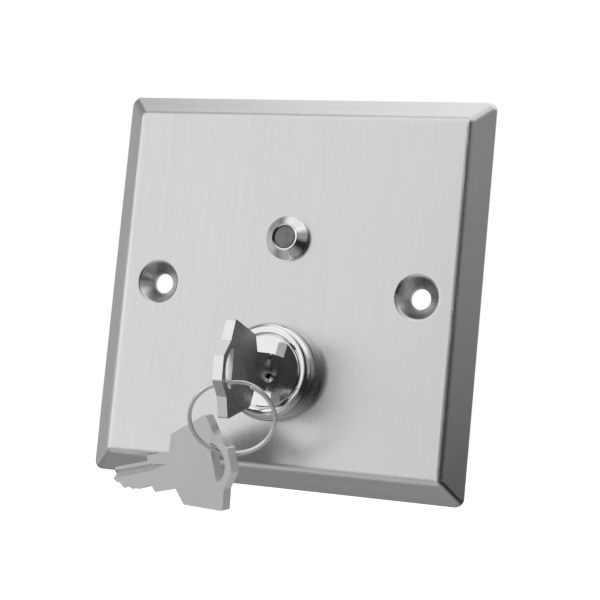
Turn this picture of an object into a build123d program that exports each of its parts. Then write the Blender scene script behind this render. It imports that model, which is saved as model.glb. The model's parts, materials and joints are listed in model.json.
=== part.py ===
"""Selector key switch on a dished wall plate.

Frame: X to the right, Z up, +Y into the wall. The origin is the centre of the plate's back rim,
so the wall plane is y = 0 and everything with a negative y stands in front of the wall.
All sizes are in millimetres.
"""

from build123d import *
from math import atan, cos, radians, sin
import os

os.makedirs("parts", exist_ok=True)

# ---------------------------------------------------------------- driving dimensions
FIT_GAP = 0.05              # radial gap of a running fit

# face plate
PLATE_SIDE = 86.0
PLATE_DEPTH = 4.0           # wall plane to front flat
PLATE_SHEET = 1.2
BEVEL_RUN = 4.5             # width of the sloping border, seen from the front
RIM_HEIGHT = 0.3            # straight cut edge at the wall
CORNER_RADIUS = 2.0
BEND_RADIUS = 2.6
INNER_CORNER_RADIUS = 1.5
INNER_BEND_RADIUS = 1.2
SCREW_SPACING = 60.3        # centres of the two fixing holes
SCREW_HOLE_RADIUS = 2.25
DIMPLE_RADIUS = 4.75        # mouth of the pressed cone at the front flat
DIMPLE_SOFTNESS = 0.9

FRONT_Y = -PLATE_DEPTH                  # front flat of the plate
BACK_SKIN_Y = FRONT_Y + PLATE_SHEET     # back of the plate's front sheet

# lock
LOCK_Z = -18.2              # height of the lock axis
LOCK_FACE_Y = -10.7         # front face of the plug and of the collar
COLLAR_RADIUS = 10.6
COLLAR_MOUTH = 8.25         # where the rounded shoulder ends
COLLAR_WALL_Y = -7.7        # where the straight wall meets the rounded shoulder
BARREL_RADIUS = 9.0
BARREL_FLATS = 16.2
BARREL_END_Y = 14.0
THREAD_PITCH = 1.0
THREAD_DEPTH = 0.45
LOCK_NUT_FLATS = 22.0       # across flats
PLUG_HEAD_RADIUS = 7.75
PLUG_HEAD_DEPTH = 1.7
PLUG_RADIUS = 6.5
KEYWAY_WIDTH = 2.3
KEYWAY_HEIGHT = 6.4
KEYWAY_END_Y = 2.4
TENON_SIDE = 7.0            # square end of the plug that drives the cam
TENON_END_Y = 17.2

# wafers
WAFER_COUNT = 5
WAFER_PITCH = 1.9
WAFER_FIRST_Y = -7.4
WAFER_THICKNESS = 1.0
WAFER_WIDTH = 5.4
WAFER_HEIGHT = 11.4
WAFER_TRAVEL = 0.8

# cam and its stop
TURN_ANGLE = 90.0           # degrees between the two key positions
STOP_Y = (14.1, 15.3)
CAM_Y = (15.5, 17.3)
CAM_BASE_RADIUS = 11.6
CAM_RISE = 0.7              # lift over the full turn
CAM_GAP = 0.1               # between the cam and the plunger tip

# microswitch
SWITCH_WIDTH = 19.8
SWITCH_HEIGHT = 10.2
SWITCH_BOTTOM_Z = -4.4
SWITCH_Y = (13.2, 19.6)
SWITCH_WALL = 1.0
SWITCH_HOLE_SPACING = 9.5
SWITCH_HOLE_Z = 2.9
SWITCH_TOP_Z = SWITCH_BOTTOM_Z + SWITCH_HEIGHT
SWITCH_MID_Y = 16.4
COVER_Y = SWITCH_Y[1] - SWITCH_WALL

# bracket
BRACKET_SHEET = 1.2
BRACKET_HALF_WIDTH = 10.0
BRACKET_BEND_Z = -4.8       # underside of the arm that reaches back

# indicator
LED_Z = 11.2
LED_FLANGE_RADIUS = 4.8
LED_FACE_Y = -6.8
LED_RING_RADIUS = 2.95
LED_RADIUS = 2.5
LED_BARREL_RADIUS = 4.0
LED_NUT_FLATS = 10.0        # across flats

# keys: local u runs from the blade tip to the bow end, v across the key
KEY_THICKNESS = 2.1
KEY_SHOULDER_Y = -18.4      # where the bow starts on the key that is in the lock
KEY_DROOP = 2.2             # degrees that the key hangs down in its loose keyway
KEY_PIVOT_Y = -4.15         # middle of the keyway, where the drooping key crosses the lock axis
BLADE_TOP = 2.8
NECK_HALF = 4.0
NECK_END = -7.3
KEY_OUTLINE = [
    (0, 4.0), (1.7, 7.5), (13.1, 10.0), (14.7, 5.6), (17.8, 2.5),
    (17.8, -2.5), (14.7, -5.6), (13.1, -10.0), (1.7, -7.5), (0, -4.0),
]
BITTING = [
    (-6.6, -4.0), (-7.0, -3.5), (NECK_END, -2.75), (-8.8, -2.1), (-9.7, -2.7), (-11.9, -2.8),
    (-12.9, -2.35), (-13.8, -2.6), (-15.3, -1.8), (-16.7, -2.05), (-17.8, -0.75), (-18.8, -0.5),
]
KEY_TIP = [(-19.7, 0.4), (-18.4, BLADE_TOP), (NECK_END, BLADE_TOP), (NECK_END, NECK_HALF)]
KEY_GROOVE = [              # V groove along the blade: u, lower edge, upper edge, depth
    (-20.5, 0.35, 2.15, 0.8), (-6.5, 0.55, 2.1, 0.7), (-1.3, 1.38, 1.52, 0.08),
]
SLOT_FLAT = 12.8            # straight side of the ring slot
SLOT_BULGE = 16.3           # furthest point of its curved side
SLOT_HALF = 4.0
SLOT_END = 0.9              # width of its blunt ends

# key ring and spare key, as they hang
RING_RADIUS = 8.64          # centre line
RING_WIDTH = 0.80           # radial width of the wire
COIL_HEIGHT = 0.41
COIL_STEP = 0.46
RING_CENTRE = Vector(0.31, -26.94, -28.92)
RING_NORMAL = Vector(0.299, -0.773, -0.560).normalized()
SPARE_ORIGIN = Vector(-15.33, -17.11, -40.73)
SPARE_U = Vector(0.8849, -0.4218, 0.1975).normalized()
SPARE_W = Vector(-0.3882, -0.9022, -0.1875).normalized()

LOCK_AXIS = Axis((0, 0, LOCK_Z), (0, 1, 0))
LED_AXIS = Axis((0, 0, LED_Z), (0, 1, 0))


# ---------------------------------------------------------------- shared shapes
def front_plane(y):
    """Plane that faces the front at this depth: local x is X and local y is Z."""
    return Plane.XZ.offset(-y)


def lock_plane(y):
    """The same plane with its origin on the lock axis."""
    return Plane(origin=(0, y, LOCK_Z), x_dir=(1, 0, 0), z_dir=(0, -1, 0))


def led_plane(y):
    """The same plane with its origin on the indicator's axis."""
    return Plane(origin=(0, y, LED_Z), x_dir=(1, 0, 0), z_dir=(0, -1, 0))


def tray(half, run, depth, corner_radius, bend_radius):
    """Solid with a square rim at y = 0 and a smaller flat front, all its bends rounded."""
    with BuildPart() as body:
        with BuildSketch(front_plane(0)):
            Rectangle(2 * half, 2 * half)
        extrude(amount=RIM_HEIGHT)
        with BuildSketch(front_plane(-RIM_HEIGHT)):
            Rectangle(2 * half, 2 * half)
        with BuildSketch(front_plane(-depth)):
            Rectangle(2 * (half - run), 2 * (half - run))
        loft()
        corners = body.edges().filter_by(lambda edge: abs((edge % 0.5).X) > 0.1 and abs((edge % 0.5).Z) > 0.1)
        fillet(corners + body.edges().filter_by(Axis.Y), corner_radius)
        fillet(body.edges().group_by(Axis.Y)[0], bend_radius)
    return body.part


def double_d(radius, flats, y, length):
    """Round bar with two flats, above and below the lock axis, from y towards the wall."""
    with BuildPart() as bar:
        with BuildSketch(lock_plane(y)):
            Circle(radius)
            Rectangle(2.5 * radius, flats, mode=Mode.INTERSECT)
        extrude(amount=-length)
    return bar.part


def thread_profile(radius, depth, start, end, pitch):
    """Points of a ridged edge that runs along y from start to end."""
    count = int((end - start) / pitch)
    points = []
    for turn in range(count):
        y = start + turn * pitch
        points += [(radius, y + 0.1 * pitch), (radius - depth, y + 0.5 * pitch), (radius, y + 0.9 * pitch)]
    return points


def hex_nut(across_flats, bore, height, y_start, y_end):
    """Hexagon nut on the Y direction with its outer corners turned off on both sides."""
    with BuildPart() as nut:
        with BuildSketch(front_plane(y_start)):
            with Locations((0, height)):
                RegularPolygon(across_flats / 2, 6, major_radius=False)
                Circle(bore, mode=Mode.SUBTRACT)
        extrude(amount=y_start - y_end)
        corner = across_flats / 2 / cos(radians(30))
        slope = 0.35 * (corner - across_flats / 2)
        with BuildSketch(Plane.XY.offset(height)):
            with BuildLine():
                Polyline(
                    (0, y_start), (across_flats / 2, y_start), (corner + 0.1, y_start + slope),
                    (corner + 0.1, y_end - slope), (across_flats / 2, y_end), (0, y_end), close=True,
                )
            make_face()
        revolve(axis=Axis((0, 0, height), (0, 1, 0)), mode=Mode.INTERSECT)
    return nut.part


def key_blank(plane):
    """Flat key whose neck meets the bow at the plane's origin: x is u, y is v, z its thickness."""
    base = plane.offset(-KEY_THICKNESS / 2)
    surface = KEY_THICKNESS / 2 + 0.05
    with BuildPart() as key:
        with BuildSketch(base):
            with BuildLine():
                Polyline(*KEY_OUTLINE, *BITTING, *KEY_TIP, close=True)
            make_face()
        extrude(amount=KEY_THICKNESS)
        upright = key.edges().filter_by(Axis((0, 0, 0), tuple(plane.z_dir)))
        bow_corners = upright.filter_by(lambda edge: plane.to_local_coords(edge.center()).X > 1)
        fillet(bow_corners, 0.5)
        with BuildSketch(base):
            with BuildLine():
                end = SLOT_FLAT + SLOT_END
                Polyline((end, -SLOT_HALF), (SLOT_FLAT, -SLOT_HALF), (SLOT_FLAT, SLOT_HALF), (end, SLOT_HALF))
                ThreePointArc((end, SLOT_HALF), (SLOT_BULGE, 0), (end, -SLOT_HALF))
            make_face()
        extrude(amount=KEY_THICKNESS, mode=Mode.SUBTRACT)
        for place, low, high, depth in KEY_GROOVE:
            across = Plane(origin=plane.origin + plane.x_dir * place, x_dir=plane.y_dir, z_dir=plane.x_dir)
            with BuildSketch(across):
                with BuildLine():
                    Polyline((low, surface), (high, surface), ((low + high) / 2, surface - depth), close=True)
                make_face()
        loft(ruled=True, mode=Mode.SUBTRACT)
        with BuildSketch(base):
            with BuildLine():
                Polyline((-20.5, -0.3), (-20.5, -1.4), (-7.0, -1.4), (-2.6, -0.9), (-7.0, -0.3), close=True)
            make_face()
        extrude(amount=0.5, mode=Mode.SUBTRACT)
    return key.part


# ---------------------------------------------------------------- face plate
slope_height = PLATE_DEPTH - RIM_HEIGHT
bevel_angle = atan(slope_height / BEVEL_RUN)
skin_inset = PLATE_SHEET / sin(bevel_angle)
inner_depth = PLATE_DEPTH - PLATE_SHEET
inner_run = (inner_depth - RIM_HEIGHT) * BEVEL_RUN / slope_height
cone_back_radius = 3.5      # back of a pressed cone, on the wall plane
cone_skirt = 1.6            # how far the cone's back reaches past its mouth
hole_land_y = -1.0          # front of the flat land around a screw hole

outer_half = PLATE_SIDE / 2
outer_tray = tray(outer_half, BEVEL_RUN, PLATE_DEPTH, CORNER_RADIUS, BEND_RADIUS)
inner_tray = tray(outer_half - skin_inset, inner_run, inner_depth, INNER_CORNER_RADIUS, INNER_BEND_RADIUS)
plate_lock_hole = double_d(BARREL_RADIUS + FIT_GAP, BARREL_FLATS + 2 * FIT_GAP, FRONT_Y - 1, 4)

with BuildPart() as face_plate:
    add(outer_tray)
    add(inner_tray, mode=Mode.SUBTRACT)
    for side in (-1, 1):
        hole_x = side * SCREW_SPACING / 2
        hole_axis = Axis((hole_x, 0, 0), (0, 1, 0))
        with BuildSketch(Plane.XY):
            with BuildLine():
                Polyline(
                    (hole_x, 0), (hole_x + cone_back_radius, 0),
                    (hole_x + DIMPLE_RADIUS + cone_skirt, BACK_SKIN_Y),
                    (hole_x + DIMPLE_RADIUS + cone_skirt, FRONT_Y), (hole_x, FRONT_Y), close=True,
                )
            make_face()
        revolve(axis=hole_axis)
        with BuildSketch(Plane.XY):
            with BuildLine():
                Polyline(
                    (hole_x, 1), (hole_x + SCREW_HOLE_RADIUS, 1), (hole_x + SCREW_HOLE_RADIUS, hole_land_y),
                    (hole_x + DIMPLE_RADIUS, FRONT_Y), (hole_x, FRONT_Y), close=True,
                )
            make_face()
        revolve(axis=hole_axis, mode=Mode.SUBTRACT)
    mouths = face_plate.edges().filter_by(GeomType.CIRCLE).filter_by(
        lambda edge: abs(edge.radius - DIMPLE_RADIUS) < 0.01 and abs(edge.center().Y - FRONT_Y) < 0.01
    )
    fillet(mouths, DIMPLE_SOFTNESS)
    add(plate_lock_hole, mode=Mode.SUBTRACT)
    with BuildSketch(led_plane(FRONT_Y)):
        Circle(LED_BARREL_RADIUS + FIT_GAP)
    extrude(amount=-2 * PLATE_SHEET, mode=Mode.SUBTRACT)
face_plate.part.label = "face_plate"
export_step(face_plate.part, "parts/face_plate.step")


# ---------------------------------------------------------------- lock housing
bore_radius = PLUG_RADIUS + FIT_GAP
head_bore_radius = PLUG_HEAD_RADIUS + 0.08
head_floor_y = LOCK_FACE_Y + PLUG_HEAD_DEPTH + FIT_GAP
groove_radius = 7.45        # room for the wafers when they drop into the housing
groove_width = 6.0
groove_y = (-8.3, 1.2)
stop_radius = 8.4
stop_end_y = 15.3
lug_half_angle = 15.0       # half of the stop washer's lug
thread_y = (BACK_SKIN_Y + 1.0, BARREL_END_Y - 0.5)
barrel_thread = thread_profile(BARREL_RADIUS, THREAD_DEPTH, *thread_y, THREAD_PITCH)
stop_margin = 1.5           # degrees of play at each end of the turn
sector_radius = 12.0        # cutter that clears the stop washer's lug

with BuildPart() as lock_housing:
    with BuildSketch(Plane.XY.offset(LOCK_Z)):
        with BuildLine():
            Line((bore_radius, BARREL_END_Y), (bore_radius, head_floor_y))
            Line((bore_radius, head_floor_y), (head_bore_radius, head_floor_y))
            Line((head_bore_radius, head_floor_y), (head_bore_radius, LOCK_FACE_Y + 0.3))
            Line((head_bore_radius, LOCK_FACE_Y + 0.3), (COLLAR_MOUTH, LOCK_FACE_Y))
            Spline((COLLAR_MOUTH, LOCK_FACE_Y), (COLLAR_RADIUS, COLLAR_WALL_Y), tangents=((1, 0), (0, 1)))
            Polyline(
                (COLLAR_RADIUS, COLLAR_WALL_Y), (COLLAR_RADIUS, FRONT_Y - 0.3),
                (COLLAR_RADIUS - 0.3, FRONT_Y),
                (BARREL_RADIUS, FRONT_Y),
                *barrel_thread,
                (BARREL_RADIUS, BARREL_END_Y - 0.5), (BARREL_RADIUS - 0.5, BARREL_END_Y),
                (bore_radius, BARREL_END_Y),
            )
        make_face()
    revolve(axis=LOCK_AXIS)
    with BuildSketch(lock_plane(BARREL_END_Y)):
        Circle(stop_radius)
        Circle(bore_radius, mode=Mode.SUBTRACT)
    extrude(amount=BARREL_END_Y - stop_end_y)
    free_start = lug_half_angle + stop_margin
    free_sweep = TURN_ANGLE + 2 * free_start
    with BuildSketch(lock_plane(BARREL_END_Y)):
        with BuildLine():
            sector = CenterArc((0, 0), sector_radius, free_start, -free_sweep)
            Line((0, 0), sector @ 0)
            Line(sector @ 1, (0, 0))
        make_face()
    extrude(amount=BARREL_END_Y - stop_end_y, mode=Mode.SUBTRACT)
    for height in (-1, 1):
        with BuildSketch(front_plane(FRONT_Y)):
            with Locations((0, LOCK_Z + height * (BARREL_FLATS / 2 + 2))):
                Rectangle(3 * BARREL_RADIUS, 4)
        extrude(amount=FRONT_Y - stop_end_y, mode=Mode.SUBTRACT)
    for turn in (0, TURN_ANGLE):
        with BuildSketch(lock_plane(groove_y[0])):
            Circle(groove_radius)
            Rectangle(2 * groove_radius, groove_width, rotation=90 - turn, mode=Mode.INTERSECT)
        extrude(amount=groove_y[0] - groove_y[1], mode=Mode.SUBTRACT)
lock_housing.part.label = "lock_housing"
export_step(lock_housing.part, "parts/lock_housing.step")


# ---------------------------------------------------------------- lock plug and its wafers
wafer_places = [WAFER_FIRST_Y + index * WAFER_PITCH for index in range(WAFER_COUNT)]
wafer_slot = WAFER_THICKNESS + 2 * FIT_GAP
ear_reach = 4.3             # the side ear that the spring pushes on
pocket_half = 3.3
screw_radius = 2.0
countersink_radius = 2.75

with BuildPart() as lock_plug:
    with BuildSketch(Plane.XY.offset(LOCK_Z)):
        with BuildLine():
            Polyline(
                (0, LOCK_FACE_Y), (PLUG_HEAD_RADIUS - 0.25, LOCK_FACE_Y),
                (PLUG_HEAD_RADIUS, LOCK_FACE_Y + 0.25), (PLUG_HEAD_RADIUS, LOCK_FACE_Y + PLUG_HEAD_DEPTH),
                (PLUG_RADIUS, LOCK_FACE_Y + PLUG_HEAD_DEPTH), (PLUG_RADIUS, BARREL_END_Y),
                (0, BARREL_END_Y), close=True,
            )
        make_face()
    revolve(axis=LOCK_AXIS)
    with BuildSketch(lock_plane(BARREL_END_Y)):
        RectangleRounded(TENON_SIDE, TENON_SIDE, 0.6)
    extrude(amount=BARREL_END_Y - TENON_END_Y)
    with BuildSketch(lock_plane(LOCK_FACE_Y)):
        Rectangle(KEYWAY_WIDTH, KEYWAY_HEIGHT)
    extrude(amount=LOCK_FACE_Y - KEYWAY_END_Y, mode=Mode.SUBTRACT)
    with BuildSketch(Plane.XY.offset(LOCK_Z)):
        with BuildLine():
            Polyline((0, LOCK_FACE_Y), (countersink_radius, LOCK_FACE_Y), (0, LOCK_FACE_Y + 1.6), close=True)
        make_face()
    revolve(axis=LOCK_AXIS, mode=Mode.SUBTRACT)
    for wafer_y in wafer_places:
        with BuildSketch(lock_plane(wafer_y - wafer_slot / 2)):
            Rectangle(WAFER_WIDTH + 2 * FIT_GAP, 2 * PLUG_RADIUS)
            with Locations((ear_reach / 2, 0)):
                Rectangle(ear_reach + 2 * FIT_GAP, 2 * pocket_half)
        extrude(amount=-wafer_slot, mode=Mode.SUBTRACT)
    with BuildSketch(lock_plane(TENON_END_Y)):
        Circle(screw_radius)
    extrude(amount=8, mode=Mode.SUBTRACT)
lock_plug.part.label = "lock_plug"
export_step(lock_plug.part, "parts/lock_plug.step")

window_width = 3.0
window_height = 7.2
ear_height = (-1.2, 0.0)    # above the lock axis

with BuildPart() as wafers:
    for wafer_y in wafer_places:
        with BuildSketch(lock_plane(wafer_y - WAFER_THICKNESS / 2)):
            RectangleRounded(WAFER_WIDTH, WAFER_HEIGHT, 0.6)
            with Locations((ear_reach / 2, sum(ear_height) / 2)):
                Rectangle(ear_reach - 0.1, ear_height[1] - ear_height[0])
            Rectangle(window_width, window_height, mode=Mode.SUBTRACT)
        extrude(amount=-WAFER_THICKNESS)
wafers.part.label = "wafers"
export_step(wafers.part, "parts/wafers.step")

spring_wire = 0.11
spring_radius = 0.36
spring_x = 3.55
spring_base_z = LOCK_Z + ear_height[1] + spring_wire + 0.02
spring_length = pocket_half - ear_height[1] - 2 * spring_wire - 0.04
spring_turns = 4

with BuildPart() as wafer_springs:
    for wafer_y in wafer_places:
        with BuildLine() as coil:
            foot = (spring_x, wafer_y, spring_base_z)
            Helix(spring_length / spring_turns, spring_length, spring_radius, center=foot)
        with BuildSketch(Plane(origin=coil.line @ 0, z_dir=coil.line % 0)):
            Circle(spring_wire)
        sweep()
wafer_springs.part.label = "wafer_springs"
export_step(wafer_springs.part, "parts/wafer_springs.step")


# ---------------------------------------------------------------- lock fixings
washer_y = (BACK_SKIN_Y + BRACKET_SHEET, BACK_SKIN_Y + BRACKET_SHEET + 0.8)
nut_end_y = washer_y[1] + 4.0
washer_teeth = 12
washer_radius = 11.6
lug_radius = 8.2            # outer edge of the stop washer's lug

with BuildPart() as lock_washer:
    with BuildSketch(lock_plane(washer_y[0])):
        Circle(washer_radius)
        Circle(BARREL_RADIUS + 0.1, mode=Mode.SUBTRACT)
        with PolarLocations(washer_radius, washer_teeth):
            Rectangle(1.2, 1.4, rotation=20, mode=Mode.SUBTRACT)
    extrude(amount=washer_y[0] - washer_y[1])
lock_washer.part.label = "lock_washer"
export_step(lock_washer.part, "parts/lock_washer.step")

lock_nut_solid = hex_nut(LOCK_NUT_FLATS, BARREL_RADIUS + FIT_GAP, LOCK_Z, washer_y[1], nut_end_y)
with BuildPart() as lock_nut:
    add(lock_nut_solid)
lock_nut.part.label = "lock_nut"
export_step(lock_nut.part, "parts/lock_nut.step")

with BuildPart() as stop_washer:
    with BuildSketch(lock_plane(STOP_Y[0])):
        Circle(PLUG_RADIUS - 0.2)
        with BuildLine():
            lug = CenterArc((0, 0), lug_radius, lug_half_angle, -2 * lug_half_angle)
            Line((0, 0), lug @ 0)
            Line(lug @ 1, (0, 0))
        make_face()
        RectangleRounded(TENON_SIDE + 0.1, TENON_SIDE + 0.1, 0.5, mode=Mode.SUBTRACT)
    extrude(amount=STOP_Y[0] - STOP_Y[1])
stop_washer.part.label = "stop_washer"
export_step(stop_washer.part, "parts/stop_washer.step")


# ---------------------------------------------------------------- cam
cam_steps = 9               # spline points along the rising part
cam_lead = 12.0             # degrees of plain rim before and after the rise
hub_radius = 6.5


def cam_point(angle, radius):
    """Point of the cam's edge, the angle measured from straight up towards the left."""
    return (-radius * sin(radians(angle)), radius * cos(radians(angle)))


with BuildPart() as cam:
    rise = [
        cam_point(TURN_ANGLE * step / (cam_steps - 1), CAM_BASE_RADIUS + CAM_RISE * step / (cam_steps - 1))
        for step in range(cam_steps)
    ]
    top_radius = CAM_BASE_RADIUS + CAM_RISE
    with BuildSketch(lock_plane(CAM_Y[0])):
        with BuildLine():
            Line((0, 0), cam_point(-cam_lead, CAM_BASE_RADIUS))
            ThreePointArc(
                cam_point(-cam_lead, CAM_BASE_RADIUS), cam_point(-cam_lead / 2, CAM_BASE_RADIUS), rise[0]
            )
            Spline(*rise)
            ThreePointArc(
                rise[-1], cam_point(TURN_ANGLE + cam_lead / 2, top_radius),
                cam_point(TURN_ANGLE + cam_lead, top_radius),
            )
            Line(cam_point(TURN_ANGLE + cam_lead, top_radius), (0, 0))
        make_face()
        Circle(hub_radius)
        RectangleRounded(TENON_SIDE + 0.1, TENON_SIDE + 0.1, 0.5, mode=Mode.SUBTRACT)
    extrude(amount=CAM_Y[0] - CAM_Y[1])
cam.part.label = "cam"
export_step(cam.part, "parts/cam.step")

cam_washer_end_y = CAM_Y[1] + 0.8
cam_washer_radius = 4.8
with BuildPart() as cam_washer:
    with BuildSketch(lock_plane(CAM_Y[1])):
        Circle(cam_washer_radius)
        Circle(screw_radius + 0.15, mode=Mode.SUBTRACT)
    extrude(amount=CAM_Y[1] - cam_washer_end_y)
cam_washer.part.label = "cam_washer"
export_step(cam_washer.part, "parts/cam_washer.step")

screw_head_end_y = cam_washer_end_y + 2.4
screw_tip_y = TENON_END_Y - 7.5
screw_head_radius = 4.0
with BuildPart() as cam_screw:
    with BuildSketch(lock_plane(screw_tip_y)):
        Circle(screw_radius - FIT_GAP)
    extrude(amount=screw_tip_y - cam_washer_end_y)
    with BuildSketch(lock_plane(cam_washer_end_y)):
        Circle(screw_head_radius)
    extrude(amount=cam_washer_end_y - screw_head_end_y)
    fillet(cam_screw.edges().group_by(Axis.Y)[-1], 0.8)
    with BuildSketch(lock_plane(screw_head_end_y)):
        Rectangle(4.2, 0.9)
        Rectangle(0.9, 4.2)
    extrude(amount=1.4, mode=Mode.SUBTRACT)
cam_screw.part.label = "cam_screw"
export_step(cam_screw.part, "parts/cam_screw.step")


# ---------------------------------------------------------------- bracket
bracket_rear_y = SWITCH_Y[0]
bracket_low_z = LOCK_Z - 12.5
hole_radius_m2 = 1.15       # clearance hole for an M2 screw
outside_bend = 1.4
bracket_lock_hole = double_d(BARREL_RADIUS + FIT_GAP, BARREL_FLATS + 2 * FIT_GAP, BACK_SKIN_Y - 1, 3)

with BuildPart() as switch_bracket:
    with BuildSketch(Plane.YZ.offset(-BRACKET_HALF_WIDTH)):
        with BuildLine():
            Polyline(
                (BACK_SKIN_Y, bracket_low_z), (BACK_SKIN_Y + BRACKET_SHEET, bracket_low_z),
                (BACK_SKIN_Y + BRACKET_SHEET, BRACKET_BEND_Z), (bracket_rear_y, BRACKET_BEND_Z),
                (bracket_rear_y, SWITCH_TOP_Z), (bracket_rear_y - BRACKET_SHEET, SWITCH_TOP_Z),
                (bracket_rear_y - BRACKET_SHEET, BRACKET_BEND_Z + BRACKET_SHEET),
                (BACK_SKIN_Y, BRACKET_BEND_Z + BRACKET_SHEET), close=True,
            )
        make_face()
    extrude(amount=2 * BRACKET_HALF_WIDTH)
    across = switch_bracket.edges().filter_by(Axis.X)
    outer_bends = across.filter_by(
        lambda edge: (edge.center() - Vector(0, BACK_SKIN_Y, BRACKET_BEND_Z + BRACKET_SHEET)).length < 0.1
        or (edge.center() - Vector(0, bracket_rear_y, BRACKET_BEND_Z)).length < 0.1
    )
    fillet(outer_bends, outside_bend)
    fillet(switch_bracket.edges().filter_by(Axis.Y).filter_by(
        lambda edge: edge.center().Z < bracket_low_z + 0.1
    ), 2.0)
    add(bracket_lock_hole, mode=Mode.SUBTRACT)
    with BuildSketch(front_plane(bracket_rear_y - BRACKET_SHEET)):
        with Locations((-SWITCH_HOLE_SPACING / 2, SWITCH_HOLE_Z), (SWITCH_HOLE_SPACING / 2, SWITCH_HOLE_Z)):
            Circle(hole_radius_m2)
    extrude(amount=-BRACKET_SHEET, mode=Mode.SUBTRACT)
switch_bracket.part.label = "switch_bracket"
export_step(switch_bracket.part, "parts/switch_bracket.step")


# ---------------------------------------------------------------- microswitch
switch_mid_z = SWITCH_BOTTOM_Z + SWITCH_HEIGHT / 2
switch_holes = [(-SWITCH_HOLE_SPACING / 2, SWITCH_HOLE_Z), (SWITCH_HOLE_SPACING / 2, SWITCH_HOLE_Z)]
post_radius = 2.1           # bosses around the two screw holes, joined to the case's top wall
plunger_size = (2.0, 2.6)   # across X and along Y
terminal_width = 3.2
terminal_sheet = 0.5
terminal_x = {"common": -8.0, "open": 0.0, "closed": 7.9}
terminal_top_z = SWITCH_TOP_Z + 3.8
floor_z = SWITCH_BOTTOM_Z + SWITCH_WALL
ceiling_z = SWITCH_TOP_Z - SWITCH_WALL

with BuildPart() as switch_case:
    with BuildSketch(front_plane(SWITCH_Y[0])):
        with Locations((0, switch_mid_z)):
            RectangleRounded(SWITCH_WIDTH, SWITCH_HEIGHT, 0.5)
    extrude(amount=SWITCH_Y[0] - COVER_Y)
    with BuildSketch(front_plane(SWITCH_Y[0] + SWITCH_WALL)):
        with Locations((0, switch_mid_z)):
            Rectangle(SWITCH_WIDTH - 2 * SWITCH_WALL, SWITCH_HEIGHT - 2 * SWITCH_WALL)
        with Locations(*switch_holes):
            Circle(post_radius, mode=Mode.SUBTRACT)
    extrude(amount=SWITCH_Y[0] + SWITCH_WALL - COVER_Y, mode=Mode.SUBTRACT)
    with BuildSketch(front_plane(SWITCH_Y[0])):
        with Locations(*switch_holes):
            Circle(hole_radius_m2)
    extrude(amount=SWITCH_Y[0] - COVER_Y, mode=Mode.SUBTRACT)
    with BuildSketch(Plane.XY.offset(SWITCH_BOTTOM_Z)):
        with Locations((0, SWITCH_MID_Y)):
            Rectangle(plunger_size[0] + 2 * FIT_GAP, plunger_size[1] + 2 * FIT_GAP)
    extrude(amount=SWITCH_WALL, mode=Mode.SUBTRACT)
    with BuildSketch(Plane.XY.offset(ceiling_z)):
        with Locations(*[(x, SWITCH_MID_Y) for x in terminal_x.values()]):
            Rectangle(terminal_sheet, terminal_width)
    extrude(amount=SWITCH_WALL, mode=Mode.SUBTRACT)
switch_case.part.label = "switch_case"
export_step(switch_case.part, "parts/switch_case.step")

with BuildPart() as switch_cover:
    with BuildSketch(front_plane(COVER_Y)):
        with Locations((0, switch_mid_z)):
            RectangleRounded(SWITCH_WIDTH, SWITCH_HEIGHT, 0.5)
        with Locations(*switch_holes):
            Circle(hole_radius_m2, mode=Mode.SUBTRACT)
    extrude(amount=COVER_Y - SWITCH_Y[1])
    fillet(switch_cover.faces().sort_by(Axis.Y)[-1].outer_wire().edges(), 0.25)
switch_cover.part.label = "switch_cover"
export_step(switch_cover.part, "parts/switch_cover.step")

plunger_tip_z = LOCK_Z + CAM_BASE_RADIUS + CAM_GAP
plunger_top_z = floor_z + 1.0
collar_half = 1.6

with BuildPart() as switch_plunger:
    with BuildSketch(Plane.XZ.offset(-SWITCH_MID_Y - plunger_size[1] / 2)):
        with BuildLine():
            half = plunger_size[0] / 2
            Polyline(
                (-half, plunger_tip_z + half), (-half, floor_z + 0.1), (-collar_half, floor_z + 0.1),
                (-collar_half, floor_z + 0.5), (-half, floor_z + 0.5), (-half, plunger_top_z),
                (half, plunger_top_z), (half, floor_z + 0.5), (collar_half, floor_z + 0.5),
                (collar_half, floor_z + 0.1), (half, floor_z + 0.1), (half, plunger_tip_z + half),
            )
            ThreePointArc((half, plunger_tip_z + half), (0, plunger_tip_z), (-half, plunger_tip_z + half))
        make_face()
    extrude(amount=plunger_size[1])
switch_plunger.part.label = "switch_plunger"
export_step(switch_plunger.part, "parts/switch_plunger.step")

blade_z = plunger_top_z + 0.1
blade_sheet = 0.25
blade_end_x = 6.4
contact_bump = 0.3          # half height of the contact at the blade's end
blade_hinge_x = terminal_x["common"] + terminal_sheet / 2 + 0.35

with BuildPart() as contact_blade:
    with BuildSketch(Plane.XZ.offset(-SWITCH_MID_Y - 1.2)):
        with Locations(((blade_hinge_x + blade_end_x) / 2, blade_z + blade_sheet / 2)):
            Rectangle(blade_end_x - blade_hinge_x, blade_sheet)
        with Locations((blade_end_x - 0.7, blade_z + blade_sheet / 2)):
            Ellipse(0.6, contact_bump)
    extrude(amount=2.4)
contact_blade.part.label = "contact_blade"
export_step(contact_blade.part, "parts/contact_blade.step")

terminal_eye_z = terminal_top_z - 1.6


def terminal(points, x):
    """Flat terminal bent from strip: the points outline its edge in X and Z, with a wire eye on top."""
    with BuildPart() as strip:
        with BuildSketch(Plane.XZ.offset(-SWITCH_MID_Y - terminal_width / 2)):
            with BuildLine():
                Polyline(*points, close=True)
            make_face()
        extrude(amount=terminal_width)
        with BuildSketch(Plane.YZ.offset(x - terminal_sheet)):
            with Locations((SWITCH_MID_Y, terminal_eye_z)):
                Circle(0.8)
        extrude(amount=2 * terminal_sheet, mode=Mode.SUBTRACT)
    return strip.part


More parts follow.
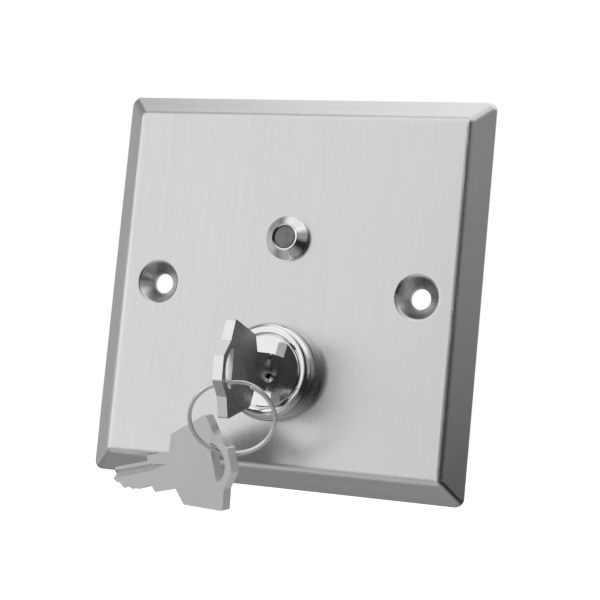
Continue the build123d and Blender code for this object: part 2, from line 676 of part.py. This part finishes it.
left = terminal_x["common"] - terminal_sheet / 2
common_strip = terminal(
    [
        (left, terminal_top_z), (left + terminal_sheet, terminal_top_z),
        (left + terminal_sheet, blade_z - 0.6), (left, blade_z - 0.6),
    ],
    terminal_x["common"],
)
with BuildPart() as common_terminal:
    add(common_strip)
common_terminal.part.label = "common_terminal"
export_step(common_terminal.part, "parts/common_terminal.step")

left = terminal_x["open"] - terminal_sheet / 2
open_contact_z = 0.0
open_strip = terminal(
    [
        (left, terminal_top_z), (left + terminal_sheet, terminal_top_z),
        (left + terminal_sheet, open_contact_z + 0.4), (blade_end_x, open_contact_z + 0.4),
        (blade_end_x, open_contact_z), (left, open_contact_z),
    ],
    terminal_x["open"],
)
with BuildPart() as open_terminal:
    add(open_strip)
open_terminal.part.label = "open_terminal"
export_step(open_terminal.part, "parts/open_terminal.step")

left = terminal_x["closed"] - terminal_sheet / 2
closed_contact_z = blade_z - 0.15
closed_strip = terminal(
    [
        (left, terminal_top_z), (left + terminal_sheet, terminal_top_z),
        (left + terminal_sheet, closed_contact_z - 0.5), (blade_end_x - 1.6, closed_contact_z - 0.5),
        (blade_end_x - 1.6, closed_contact_z - 0.1), (left, closed_contact_z - 0.1),
    ],
    terminal_x["closed"],
)
with BuildPart() as closed_terminal:
    add(closed_strip)
closed_terminal.part.label = "closed_terminal"
export_step(closed_terminal.part, "parts/closed_terminal.step")

m2_radius = hole_radius_m2 - FIT_GAP
m2_head_y = SWITCH_Y[1]
m2_nut_y = bracket_rear_y - BRACKET_SHEET - 1.6
m2_tail_y = m2_nut_y - 0.8
m2_head_radius = 2.0
m2_head_height = 1.4

with BuildPart() as switch_screws:
    with BuildSketch(front_plane(m2_tail_y)):
        with Locations(*switch_holes):
            Circle(m2_radius)
    extrude(amount=m2_tail_y - m2_head_y)
    with BuildSketch(front_plane(m2_head_y)):
        with Locations(*switch_holes):
            Circle(m2_head_radius)
    extrude(amount=-m2_head_height)
    fillet(switch_screws.edges().group_by(Axis.Y)[-1], 0.5)
    with BuildSketch(front_plane(m2_head_y + m2_head_height)):
        with Locations(*switch_holes):
            Rectangle(4.2, 0.5)
    extrude(amount=0.7, mode=Mode.SUBTRACT)
switch_screws.part.label = "switch_screws"
export_step(switch_screws.part, "parts/switch_screws.step")

with BuildPart() as switch_nuts:
    with BuildSketch(front_plane(m2_nut_y)):
        with Locations(*switch_holes):
            RegularPolygon(2.0, 6, major_radius=False)
            Circle(hole_radius_m2, mode=Mode.SUBTRACT)
    extrude(amount=m2_nut_y - (bracket_rear_y - BRACKET_SHEET))
switch_nuts.part.label = "switch_nuts"
export_step(switch_nuts.part, "parts/switch_nuts.step")


# ---------------------------------------------------------------- indicator
led_edge_y = -5.3           # where the flange's straight edge turns into the cone
led_bore = LED_RADIUS + FIT_GAP
led_flange_y = (1.2, 2.2)
led_socket = 3.05
led_holder_end_y = 5.0
lens_apex_y = LED_FACE_Y + 0.35
led_foot_radius = 2.95      # wider foot of the indicator's body

with BuildPart() as led_holder:
    with BuildSketch(Plane.XY.offset(LED_Z)):
        with BuildLine():
            Polyline(
                (led_bore, LED_FACE_Y + 0.1), (LED_RING_RADIUS - 0.1, LED_FACE_Y),
                (LED_RING_RADIUS, LED_FACE_Y + 0.1), (LED_RING_RADIUS + 0.1, LED_FACE_Y + 0.3),
                (LED_FLANGE_RADIUS - 0.1, led_edge_y),
                (LED_FLANGE_RADIUS, led_edge_y + 0.12), (LED_FLANGE_RADIUS, FRONT_Y),
                (LED_BARREL_RADIUS, FRONT_Y),
                *thread_profile(LED_BARREL_RADIUS, 0.3, BACK_SKIN_Y + 0.3, led_holder_end_y - 0.3, 0.75),
                (LED_BARREL_RADIUS - 0.3, led_holder_end_y), (led_socket, led_holder_end_y),
                (led_socket, led_flange_y[0] - 0.02), (led_bore, led_flange_y[0] - 0.02), close=True,
            )
        make_face()
    revolve(axis=LED_AXIS)
led_holder.part.label = "led_holder"
export_step(led_holder.part, "parts/led_holder.step")

with BuildPart() as led_body:
    with BuildSketch(Plane.XY.offset(LED_Z)):
        with BuildLine():
            ThreePointArc((0, lens_apex_y), (1.45, lens_apex_y + 0.32), (LED_RADIUS, lens_apex_y + 1.0))
            Polyline(
                (LED_RADIUS, lens_apex_y + 1.0), (LED_RADIUS, led_flange_y[0]),
                (led_foot_radius, led_flange_y[0]),
                (led_foot_radius, led_flange_y[1]), (0, led_flange_y[1]), (0, lens_apex_y),
            )
        make_face()
    revolve(axis=LED_AXIS)
led_body.part.label = "led_body"
export_step(led_body.part, "parts/led_body.step")

leg_half_spacing = 1.27
leg_lengths = (10.5, 11.5)

with BuildPart() as led_legs:
    for side, length in zip((-1, 1), leg_lengths):
        with BuildSketch(front_plane(led_flange_y[1])):
            with Locations((side * leg_half_spacing, LED_Z)):
                Rectangle(0.5, 0.5)
        extrude(amount=-length)
led_legs.part.label = "led_legs"
export_step(led_legs.part, "parts/led_legs.step")

sleeve_end_y = 7.2
sleeve_collar_radius = 3.7
leg_hole_radius = 0.42
with BuildPart() as led_sleeve:
    with BuildSketch(led_plane(led_flange_y[1])):
        Circle(led_socket - 0.02)
    extrude(amount=led_flange_y[1] - sleeve_end_y)
    with BuildSketch(led_plane(led_holder_end_y)):
        Circle(sleeve_collar_radius)
    extrude(amount=led_holder_end_y - sleeve_end_y)
    with BuildSketch(front_plane(led_flange_y[1])):
        with Locations((-leg_half_spacing, LED_Z), (leg_half_spacing, LED_Z)):
            Circle(leg_hole_radius)
    extrude(amount=led_flange_y[1] - sleeve_end_y, mode=Mode.SUBTRACT)
led_sleeve.part.label = "led_sleeve"
export_step(led_sleeve.part, "parts/led_sleeve.step")

led_washer_end_y = BACK_SKIN_Y + 0.5
led_washer_radius = 6.2
with BuildPart() as led_washer:
    with BuildSketch(led_plane(BACK_SKIN_Y)):
        Circle(led_washer_radius)
        Circle(LED_BARREL_RADIUS + 0.1, mode=Mode.SUBTRACT)
    extrude(amount=BACK_SKIN_Y - led_washer_end_y)
led_washer.part.label = "led_washer"
export_step(led_washer.part, "parts/led_washer.step")

led_nut_end_y = led_washer_end_y + 2.2
led_nut_solid = hex_nut(LED_NUT_FLATS, LED_BARREL_RADIUS + FIT_GAP, LED_Z, led_washer_end_y, led_nut_end_y)
with BuildPart() as led_nut:
    add(led_nut_solid)
led_nut.part.label = "led_nut"
export_step(led_nut.part, "parts/led_nut.step")


# ---------------------------------------------------------------- keys and ring
key_direction = Vector(0, -cos(radians(KEY_DROOP)), -sin(radians(KEY_DROOP)))
key_origin = Vector(0, KEY_PIVOT_Y, LOCK_Z) + key_direction * (KEY_PIVOT_Y - KEY_SHOULDER_Y)
inserted_blank = key_blank(Plane(origin=key_origin, x_dir=key_direction, z_dir=(-1, 0, 0)))
with BuildPart() as inserted_key:
    add(inserted_blank)
inserted_key.part.label = "inserted_key"
export_step(inserted_key.part, "parts/inserted_key.step")

spare_blank = key_blank(Plane(origin=SPARE_ORIGIN, x_dir=SPARE_U, z_dir=SPARE_W))
with BuildPart() as spare_key:
    add(spare_blank)
spare_key.part.label = "spare_key"
export_step(spare_key.part, "parts/spare_key.step")

weld_start = -100.0         # where on the circle the two turns of the wire meet
coil_sweep = 350.0          # each turn of the wire stops short of a full circle
weld_sweep = 12.0           # the two turns are one wire here
wire_edge = 0.18            # rounding of the flat wire

ring_axis = Axis(RING_CENTRE, RING_NORMAL)
ring_level = RING_NORMAL.cross(Vector(0, 0, 1)).normalized()
ring_upward = RING_NORMAL.cross(ring_level)


def wire_plane(angle):
    """Plane across the wire: local x points out from the ring's centre, local y along its normal."""
    outward = ring_level * cos(radians(angle)) + ring_upward * sin(radians(angle))
    return Plane(origin=RING_CENTRE, x_dir=outward, z_dir=outward.cross(RING_NORMAL))


with BuildPart() as key_ring:
    for level, start in ((-1, weld_start), (1, weld_start + weld_sweep)):
        with BuildSketch(wire_plane(start)):
            with Locations((RING_RADIUS, level * COIL_STEP / 2)):
                RectangleRounded(RING_WIDTH, COIL_HEIGHT, wire_edge)
        revolve(axis=ring_axis, revolution_arc=coil_sweep)
    with BuildSketch(wire_plane(weld_start)):
        with Locations((RING_RADIUS, 0)):
            Rectangle(RING_WIDTH - 0.1, COIL_STEP)
    revolve(axis=ring_axis, revolution_arc=weld_sweep)
key_ring.part.label = "key_ring"
export_step(key_ring.part, "parts/key_ring.step")
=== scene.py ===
"""Looks of the selector key switch.

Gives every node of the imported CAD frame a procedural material, draws four of the pieces again in more
detail, and sets up the floor, the light and the camera. Every length is in metres.
"""
import bmesh
import bpy
import json
from math import cos, pi, radians, sin
from mathutils import Matrix, Vector


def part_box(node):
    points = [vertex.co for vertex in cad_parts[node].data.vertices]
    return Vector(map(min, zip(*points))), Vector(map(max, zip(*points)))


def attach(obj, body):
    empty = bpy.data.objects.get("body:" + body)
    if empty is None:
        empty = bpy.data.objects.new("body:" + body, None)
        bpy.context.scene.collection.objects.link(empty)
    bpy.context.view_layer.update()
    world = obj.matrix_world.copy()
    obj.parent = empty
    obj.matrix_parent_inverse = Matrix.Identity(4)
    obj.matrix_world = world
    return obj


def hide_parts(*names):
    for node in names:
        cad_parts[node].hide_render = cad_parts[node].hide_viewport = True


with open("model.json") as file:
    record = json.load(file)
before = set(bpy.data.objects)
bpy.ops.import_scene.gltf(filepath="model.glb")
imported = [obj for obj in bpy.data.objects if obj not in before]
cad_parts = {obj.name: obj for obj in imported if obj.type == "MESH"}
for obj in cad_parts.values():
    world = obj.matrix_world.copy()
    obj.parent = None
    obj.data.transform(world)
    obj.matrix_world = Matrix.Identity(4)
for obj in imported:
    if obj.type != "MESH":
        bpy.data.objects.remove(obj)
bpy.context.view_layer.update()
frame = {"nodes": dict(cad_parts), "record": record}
nodes = frame["nodes"]
scene = bpy.context.scene

MM = 0.001
WHITE = (1, 1, 1, 1)


# ---------------------------------------------------------------- node helpers
class Shader:
    """A material's node tree, with short calls for the nodes that repeat."""

    def __init__(self, name):
        self.material = bpy.data.materials.new(name)
        self.material.use_nodes = True
        self.tree = self.material.node_tree
        self.bsdf = self.tree.nodes["Principled BSDF"]
        self.coords = self.tree.nodes.new("ShaderNodeTexCoord").outputs["Object"]

    def link(self, source, target):
        self.tree.links.new(source, target)

    def set(self, **values):
        """Constants on the shader's own sockets. An underscore stands for the space in a socket's name."""
        for key, value in values.items():
            self.bsdf.inputs[key.replace("_", " ")].default_value = value
        return self

    def noise(self, scale, detail=3.0, stretch=(1, 1, 1), rough=0.55, turn=(0, 0, 0)):
        """Noise with scale * stretch features to the metre along each axis."""
        mapping = self.tree.nodes.new("ShaderNodeMapping")
        mapping.inputs["Scale"].default_value = stretch
        mapping.inputs["Rotation"].default_value = turn
        self.link(self.coords, mapping.inputs["Vector"])
        node = self.tree.nodes.new("ShaderNodeTexNoise")
        node.inputs["Scale"].default_value = scale
        node.inputs["Detail"].default_value = detail
        node.inputs["Roughness"].default_value = rough
        self.link(mapping.outputs["Vector"], node.inputs["Vector"])
        return node.outputs["Fac"]

    def ramp(self, source, low, high, span=(0.3, 0.7)):
        """Goes from low to high, each a number or a colour, while the source crosses the span."""
        node = self.tree.nodes.new("ShaderNodeValToRGB")
        for element, position, color in zip(node.color_ramp.elements, span, (low, high)):
            element.position = position
            element.color = color if isinstance(color, tuple) else grey(color)
        self.link(source, node.inputs["Fac"])
        return node.outputs["Color"]

    def mix(self, factor, a, b):
        node = self.tree.nodes.new("ShaderNodeMix")
        node.data_type = "FLOAT"
        factor_in, a_in, b_in = node.inputs[0], node.inputs[2], node.inputs[3]
        factor_in.default_value = factor
        self.link(a, a_in)
        self.link(b, b_in)
        return node.outputs[0]

    def bump(self, height, strength, distance, normal=None):
        """A bump map, laid over another one where its normal is given."""
        node = self.tree.nodes.new("ShaderNodeBump")
        node.inputs["Strength"].default_value = strength
        node.inputs["Distance"].default_value = distance
        self.link(height, node.inputs["Height"])
        if normal is not None:
            self.link(normal, node.inputs["Normal"])
        return node.outputs["Normal"]

    def finish(self, color, roughness, normal=None):
        """Links the maps to the shader and returns the material."""
        for source, name in ((color, "Base Color"), (roughness, "Roughness"), (normal, "Normal")):
            if source is not None:
                self.link(source, self.bsdf.inputs[name])
        return self.material


def grey(value, warm=0.0):
    return (value + warm, value, value - warm, 1)


# ---------------------------------------------------------------- materials
def brushed_stainless():
    """Satin sheet, brushed along its height: a fine grain, wider streaks and a slow drift in gloss."""
    s = Shader("brushed_stainless").set(Metallic=1.0, Anisotropic=0.55)
    tangent = s.tree.nodes.new("ShaderNodeTangent")
    tangent.direction_type = "RADIAL"
    tangent.axis = "Z"
    s.link(tangent.outputs["Tangent"], s.bsdf.inputs["Tangent"])
    grain = s.noise(1, detail=4, stretch=(4200, 4200, 70), rough=0.7)
    streak = s.noise(1, stretch=(1100, 1100, 14), rough=0.6)
    cloud = s.noise(38, stretch=(1, 1, 0.4))
    tone = s.mix(0.35, grain, streak)
    color = s.ramp(tone, grey(0.630, 0.001), grey(0.705, 0.001))
    rough = s.ramp(s.mix(0.4, tone, cloud), 0.22, 0.30)
    relief = s.bump(grain, 0.22, 0.00002, s.bump(streak, 0.12, 0.00002))
    return s.finish(color, rough, relief)


def chrome(name, tone, rough):
    """Bright plating with a faint waviness, a little wear and small dull spots."""
    s = Shader(name).set(Metallic=1.0)
    wear = s.noise(420, detail=4)
    spots = s.noise(2600, detail=2)
    color = s.ramp(wear, grey(tone - 0.02), grey(tone + 0.01))
    dulling = s.ramp(s.mix(0.5, wear, spots), *rough, span=(0.35, 0.7))
    return s.finish(color, dulling, s.bump(s.noise(300, detail=2), 0.12, 0.00004))


def satin_nickel():
    """The keys' tumbled metal, with slanting scratches from use."""
    s = Shader("nickel_silver").set(Metallic=1.0)
    grain = s.noise(1, detail=4, stretch=(2600, 2600, 2600), rough=0.7)
    cloud = s.noise(110)
    scratch = s.noise(1, stretch=(400, 3600, 400), rough=0.6, turn=(0.3, 0.2, 0.7))
    color = s.ramp(s.mix(0.35, cloud, scratch), grey(0.77, 0.004), grey(0.83, 0.004))
    rough = s.ramp(s.mix(0.5, cloud, scratch), 0.24, 0.34)
    relief = s.bump(scratch, 0.06, 0.00002, s.bump(grain, 0.04, 0.00001))
    return s.finish(color, rough, relief)


def plated(name, tone, warm, rough):
    """Plain or plated metal of the small hidden parts, warmer or cooler than grey."""
    s = Shader(name).set(Metallic=1.0)
    grain = s.noise(1500, detail=4)
    cloud = s.noise(220)
    color = s.ramp(cloud, grey(tone - 0.05, warm), grey(tone + 0.04, warm))
    return s.finish(color, s.ramp(grain, *rough), s.bump(grain, 0.2, 0.00003))


def plastic(name, color, rough):
    """Moulded plastic with a fine matt grain and a slight drift in tone."""
    s = Shader(name)
    grain = s.noise(2400)
    cloud = s.noise(120)
    dark = tuple(c * 0.85 for c in color) + (1,)
    light = tuple(c * 1.15 for c in color) + (1,)
    return s.finish(s.ramp(cloud, dark, light), s.ramp(grain, *rough), s.bump(grain, 0.3, 0.00004))


def smoked_lens():
    """Dark grey lens with a clear coat. It gives no light."""
    s = Shader("smoked_lens").set(Coat_Weight=1.0, Coat_Roughness=0.03, IOR=1.5)
    speckle = s.noise(900)
    color = s.ramp(speckle, 0.075, 0.12, span=(0.35, 0.7))
    return s.finish(color, s.ramp(speckle, 0.12, 0.24), s.bump(speckle, 0.15, 0.00003))


MATERIALS = {
    "brushed_stainless": brushed_stainless(),
    "polished_chrome": chrome("polished_chrome", tone=0.80, rough=(0.03, 0.08)),
    "mirror_chrome": chrome("mirror_chrome", tone=0.80, rough=(0.02, 0.06)),
    "ring_steel": chrome("ring_steel", tone=0.88, rough=(0.06, 0.15)),
    "smoked_lens": smoked_lens(),
    "nickel_silver": satin_nickel(),
    "brass": plated("brass", tone=0.60, warm=0.16, rough=(0.2, 0.34)),
    "spring_steel": plated("spring_steel", tone=0.5, warm=0.0, rough=(0.2, 0.34)),
    "zinc_steel": plated("zinc_steel", tone=0.60, warm=-0.012, rough=(0.26, 0.42)),
    "black_plastic": plastic("black_plastic", color=(0.022, 0.022, 0.024), rough=(0.42, 0.6)),
    "grey_plastic": plastic("grey_plastic", color=(0.14, 0.14, 0.15), rough=(0.42, 0.6)),
    "red_plastic": plastic("red_plastic", color=(0.5, 0.04, 0.03), rough=(0.25, 0.4)),
    "tinned_brass": plated("tinned_brass", tone=0.70, warm=0.01, rough=(0.22, 0.36)),
}
for part in frame["record"]["subparts"]:
    finish = nodes[part["node"]].data.materials
    finish.clear()
    finish.append(MATERIALS[part["material_slot"]])


# ---------------------------------------------------------------- finer pieces
def new_piece(name, mesh, slot):
    """Makes an object of a bmesh, with the slot's material."""
    data = bpy.data.meshes.new(name)
    mesh.to_mesh(data)
    mesh.free()
    data.materials.append(MATERIALS[slot])
    piece = bpy.data.objects.new(name, data)
    scene.collection.objects.link(piece)
    return piece


def skin(mesh, rows):
    """Adds the faces from each closed row of points to the next. A row may be one point repeated."""
    for a, b in zip(rows, rows[1:]):
        for i in range(len(a)):
            j = (i + 1) % len(a)
            corners = dict.fromkeys((a[i], a[j], b[j], b[i]))
            mesh.faces.new(list(corners))


def ease(t):
    """0 to 1 with level ends, and no further on either side."""
    t = min(1.0, max(0.0, t))
    return t * t * (3 - 2 * t)


RING_NORMAL = Vector((0.299, -0.773, -0.560)).normalized()
RING_RADIUS = 8.64 * MM      # to the middle of the wire
WIRE_WIDTH = 0.80 * MM
WIRE_HEIGHT = 0.41 * MM
WIRE_CORNER = 0.17 * MM
TURN_PITCH = 0.46 * MM       # from the middle of one turn to the middle of the other
SPREAD = 0.16 * MM           # how much further from the middle each turn stands at the crossing
SPREAD_ARC = 75.0            # degrees from the crossing over which the spread dies away
CROSSING = -94.0             # degrees round the circle to where the wire changes level
HALF_CROSSING = 14.0         # degrees on each side of the crossing that the change takes
END_GAP = 16.0               # degrees from the crossing to each end of the wire
END_SHRINK = (0.55, 0.85, 0.96)   # of the section, at the first points from each end
RING_STEPS = 460


def rounded_section(width, height, radius, steps=4):
    """Corner-rounded rectangle, as points of (away from the ring's centre, along its normal)."""
    points = []
    for quarter, (sx, sy) in enumerate(((1, 1), (-1, 1), (-1, -1), (1, -1))):
        for step in range(steps):
            angle = pi / 2 * (quarter + step / (steps - 1))
            points.append((
                sx * (width / 2 - radius) + radius * cos(angle),
                sy * (height / 2 - radius) + radius * sin(angle),
            ))
    return points


def split_ring():
    """Two turns of flat wire that cross over low on the ring and spread a little there."""
    low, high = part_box("key_ring")
    centre = (low + high) / 2
    level = RING_NORMAL.cross(Vector((0, 0, 1))).normalized()
    upward = RING_NORMAL.cross(level)
    section = rounded_section(WIRE_WIDTH, WIRE_HEIGHT, WIRE_CORNER)
    start, end = END_GAP, 720.0 - END_GAP
    mesh = bmesh.new()
    rows = []
    for step in range(RING_STEPS + 1):
        along = start + (end - start) * step / RING_STEPS
        off_crossing = min(along % 360.0, 360.0 - along % 360.0)
        spread = SPREAD * ease(1 - off_crossing / SPREAD_ARC)
        side = -1 + 2 * ease((along - 360.0 + HALF_CROSSING) / (2 * HALF_CROSSING))
        height = side * (TURN_PITCH / 2 + spread)
        angle = radians(CROSSING + along)
        outward = level * cos(angle) + upward * sin(angle)
        from_end = min(step, RING_STEPS - step)
        shrink = END_SHRINK[from_end] if from_end < len(END_SHRINK) else 1.0
        rows.append([
            mesh.verts.new(
                centre + outward * (RING_RADIUS + x * shrink) + RING_NORMAL * (height + y * shrink)
            )
            for x, y in section
        ])
    skin(mesh, rows)
    mesh.faces.new(rows[0][::-1])
    mesh.faces.new(rows[-1])
    bmesh.ops.recalc_face_normals(mesh, faces=mesh.faces)
    ring = new_piece("split_ring", mesh, "ring_steel")
    for face in ring.data.polygons:
        face.use_smooth = len(face.vertices) == 4
    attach(ring, "ring")
    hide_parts("key_ring")


# Radius, and depth behind the front of the CAD body, along the dome from its middle out.
LENS_DOME_MM = ((0.0, -0.16), (0.8, -0.14), (1.5, -0.09), (2.1, -0.01), (2.42, 0.08), (2.50, 0.22))
LENS_RADIUS = 2.50 * MM
FOOT_RADIUS = 2.95 * MM
FOOT_LENGTH = 1.0 * MM
LENS_SIDES = 72
LENS_SHARP = radians(40)


def lens():
    """The indicator's body turned again, with a lens that nearly fills the mouth of its holder."""
    low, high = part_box("led_body")
    centre = (low + high) / 2
    foot = high.y - FOOT_LENGTH
    profile = [(radius * MM, low.y + depth * MM) for radius, depth in LENS_DOME_MM]
    profile += [(LENS_RADIUS, foot), (FOOT_RADIUS, foot), (FOOT_RADIUS, high.y), (0.0, high.y)]
    angles = [2 * pi * i / LENS_SIDES for i in range(LENS_SIDES)]
    mesh = bmesh.new()
    rows = []
    for radius, y in profile:
        if radius == 0:
            rows.append([mesh.verts.new((centre.x, y, centre.z))] * LENS_SIDES)
        else:
            rows.append([
                mesh.verts.new((centre.x + radius * cos(angle), y, centre.z + radius * sin(angle)))
                for angle in angles
            ])
    skin(mesh, rows)
    bmesh.ops.recalc_face_normals(mesh, faces=mesh.faces)
    piece = new_piece("lens", mesh, "smoked_lens")
    for face in piece.data.polygons:
        face.use_smooth = True
    piece.data.set_sharp_from_angle(angle=LENS_SHARP)
    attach(piece, "plate")
    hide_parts("led_body")


WELD = 0.0005 * MM           # points nearer to each other than this become one
FLAT = radians(0.6)          # faces that meet at less than this become one
SHARP = radians(25)          # an edge where faces meet at more than this gets broken
KEY_BEVEL = 0.13 * MM


def refined(name, body, slot, width):
    """Stands in for a CAD node: the same shape in clean faces, its sharp edges broken by a small bevel."""
    mesh = bmesh.new()
    mesh.from_mesh(nodes[name].data)
    bmesh.ops.remove_doubles(mesh, verts=mesh.verts, dist=WELD)
    bmesh.ops.dissolve_limit(mesh, angle_limit=FLAT, verts=mesh.verts, edges=mesh.edges)
    edges = [
        edge for edge in mesh.edges
        if len(edge.link_faces) == 2 and edge.calc_face_angle(0.0) > SHARP and edge.calc_length() > width
    ]
    bmesh.ops.bevel(
        mesh, geom=edges, offset=width, offset_type="OFFSET", segments=2, profile=0.5,
        affect="EDGES", clamp_overlap=True,
    )
    bmesh.ops.remove_doubles(mesh, verts=mesh.verts, dist=WELD)
    bmesh.ops.dissolve_degenerate(mesh, dist=WELD, edges=mesh.edges)
    piece = new_piece(name + "_fine", mesh, slot)
    for face in piece.data.polygons:
        face.use_smooth = False
    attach(piece, body)
    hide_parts(name)


split_ring()
lens()
refined("inserted_key", "key", "nickel_silver", KEY_BEVEL)
refined("spare_key", "spare", "nickel_silver", KEY_BEVEL)


# ---------------------------------------------------------------- floor
FLOOR_SIZE = 60
FLOOR_LEVEL = -0.30


def pale_floor():
    """Near-white floor with a glow of its own, so that it runs into the white background."""
    s = Shader("pale_floor").set(Emission_Strength=0.55, Emission_Color=WHITE)
    speck = s.noise(60, detail=2)
    return s.finish(s.ramp(speck, 0.86, 0.88), s.ramp(speck, 0.8, 0.9))


bpy.ops.mesh.primitive_plane_add(size=FLOOR_SIZE, location=(0, 0, FLOOR_LEVEL))
floor = bpy.context.object
floor.name = "floor"
floor.data.materials.append(pale_floor())
floor.visible_glossy = False


# ---------------------------------------------------------------- world
# The metal reflects soft areas of light, each a smooth lobe about a direction: the direction, the cosines
# of the angle from it at which the lobe begins and is full, and its strength. The camera sees plain white.
BASE_LEVEL = 0.025
LOBES = (
    ((-0.50, -0.80, 0.33), 0.72, 0.90, 1.00),     # large soft source, front left
    ((0.25, -0.1, 0.96), 0.60, 0.92, 0.92),       # overhead
    ((-1.0, 0.25, 0.1), 0.5, 0.95, 0.14),         # pale wall at the left
    ((-0.95, -0.3, -0.15), 0.82, 0.98, 0.42),     # the wall's front part
    ((-0.35, -0.77, -0.53), 0.84, 0.97, 0.34),    # table edge, low in front
    ((0.80, -0.48, 0.40), 0.84, 0.97, 0.33),      # dim wall at the right
    ((0, 1, 0.3), -0.1, 0.6, 0.50),               # behind
    ((-0.1, -0.35, -0.93), 0.5, 0.95, 0.31),      # below
)
world = bpy.data.worlds.new("studio")
scene.world = world
world.use_nodes = True
sky = world.node_tree
sky.nodes.clear()


def sky_node(kind, **values):
    node = sky.nodes.new(kind)
    for key, value in values.items():
        setattr(node, key, value)
    return node


def lobe(coords, direction, begins, full):
    """0 to 1 as the cosine of the angle between the ray and the direction goes from begins to full."""
    dot = sky_node("ShaderNodeVectorMath", operation="DOT_PRODUCT")
    sky.links.new(coords, dot.inputs[0])
    dot.inputs[1].default_value = Vector(direction).normalized()
    fit = sky_node("ShaderNodeMapRange", interpolation_type="SMOOTHSTEP")
    fit.inputs["From Min"].default_value = begins
    fit.inputs["From Max"].default_value = full
    sky.links.new(dot.outputs["Value"], fit.inputs["Value"])
    return fit.outputs["Result"]


def add_up(total, extra, weight):
    """total + extra * weight, where total is a number or a socket."""
    node = sky_node("ShaderNodeMath", operation="MULTIPLY_ADD")
    sky.links.new(extra, node.inputs[0])
    node.inputs[1].default_value = weight
    if isinstance(total, float):
        node.inputs[2].default_value = total
    else:
        sky.links.new(total, node.inputs[2])
    return node.outputs[0]


ray = sky_node("ShaderNodeTexCoord").outputs["Generated"]
level = BASE_LEVEL
for direction, begins, full, strength in LOBES:
    level = add_up(level, lobe(ray, direction, begins, full), strength)
shade = sky_node("ShaderNodeBackground")
sky.links.new(level, shade.inputs["Color"])
white = sky_node("ShaderNodeBackground")
white.inputs["Color"].default_value = WHITE
path = sky_node("ShaderNodeLightPath")
choice = sky_node("ShaderNodeMixShader")
sky.links.new(path.outputs["Is Camera Ray"], choice.inputs["Fac"])
sky.links.new(shade.outputs[0], choice.inputs[1])
sky.links.new(white.outputs[0], choice.inputs[2])
output = sky_node("ShaderNodeOutputWorld")
sky.links.new(choice.outputs[0], output.inputs["Surface"])


# ---------------------------------------------------------------- lights and camera
CAMERA_PLACE = (0.11395, -0.30510, -0.03000)
CAMERA_TARGET = (0.00254, 0.0, -0.00170)
CAMERA_ROLL = radians(5.4685)
CAMERA_LENS = 89.04          # mm, on a sensor 36 mm wide
SENSOR_WIDTH = 36.0


def look_at(obj, place, target, roll=0.0):
    direction = (Vector(target) - Vector(place)).normalized()
    turn = direction.to_track_quat("-Z", "Y").to_matrix().to_4x4()
    obj.matrix_world = Matrix.Translation(place) @ turn @ Matrix.Rotation(roll, 4, "Z")


def area_light(name, place, size, power):
    """A soft rectangular light aimed at the origin, which only lights: no metal reflects it."""
    data = bpy.data.lights.new(name, "AREA")
    data.shape = "RECTANGLE"
    data.size, data.size_y = size
    data.energy = power
    light = bpy.data.objects.new(name, data)
    light.visible_camera = False
    light.visible_glossy = False
    scene.collection.objects.link(light)
    look_at(light, place, target=(0, 0, 0))


area_light("key_light", place=(-0.55, -0.75, 0.55), size=(0.5, 0.7), power=0.35)
area_light("top_strip", place=(0.25, -0.35, 0.65), size=(0.5, 0.15), power=0.1)

camera_data = bpy.data.cameras.new("camera")
camera_data.sensor_width = SENSOR_WIDTH
camera_data.lens = CAMERA_LENS
camera_data.clip_start = 0.01
camera_data.clip_end = 100
camera = bpy.data.objects.new("camera", camera_data)
scene.collection.objects.link(camera)
look_at(camera, CAMERA_PLACE, CAMERA_TARGET, CAMERA_ROLL)
scene.camera = camera
scene.view_settings.view_transform = "Standard"
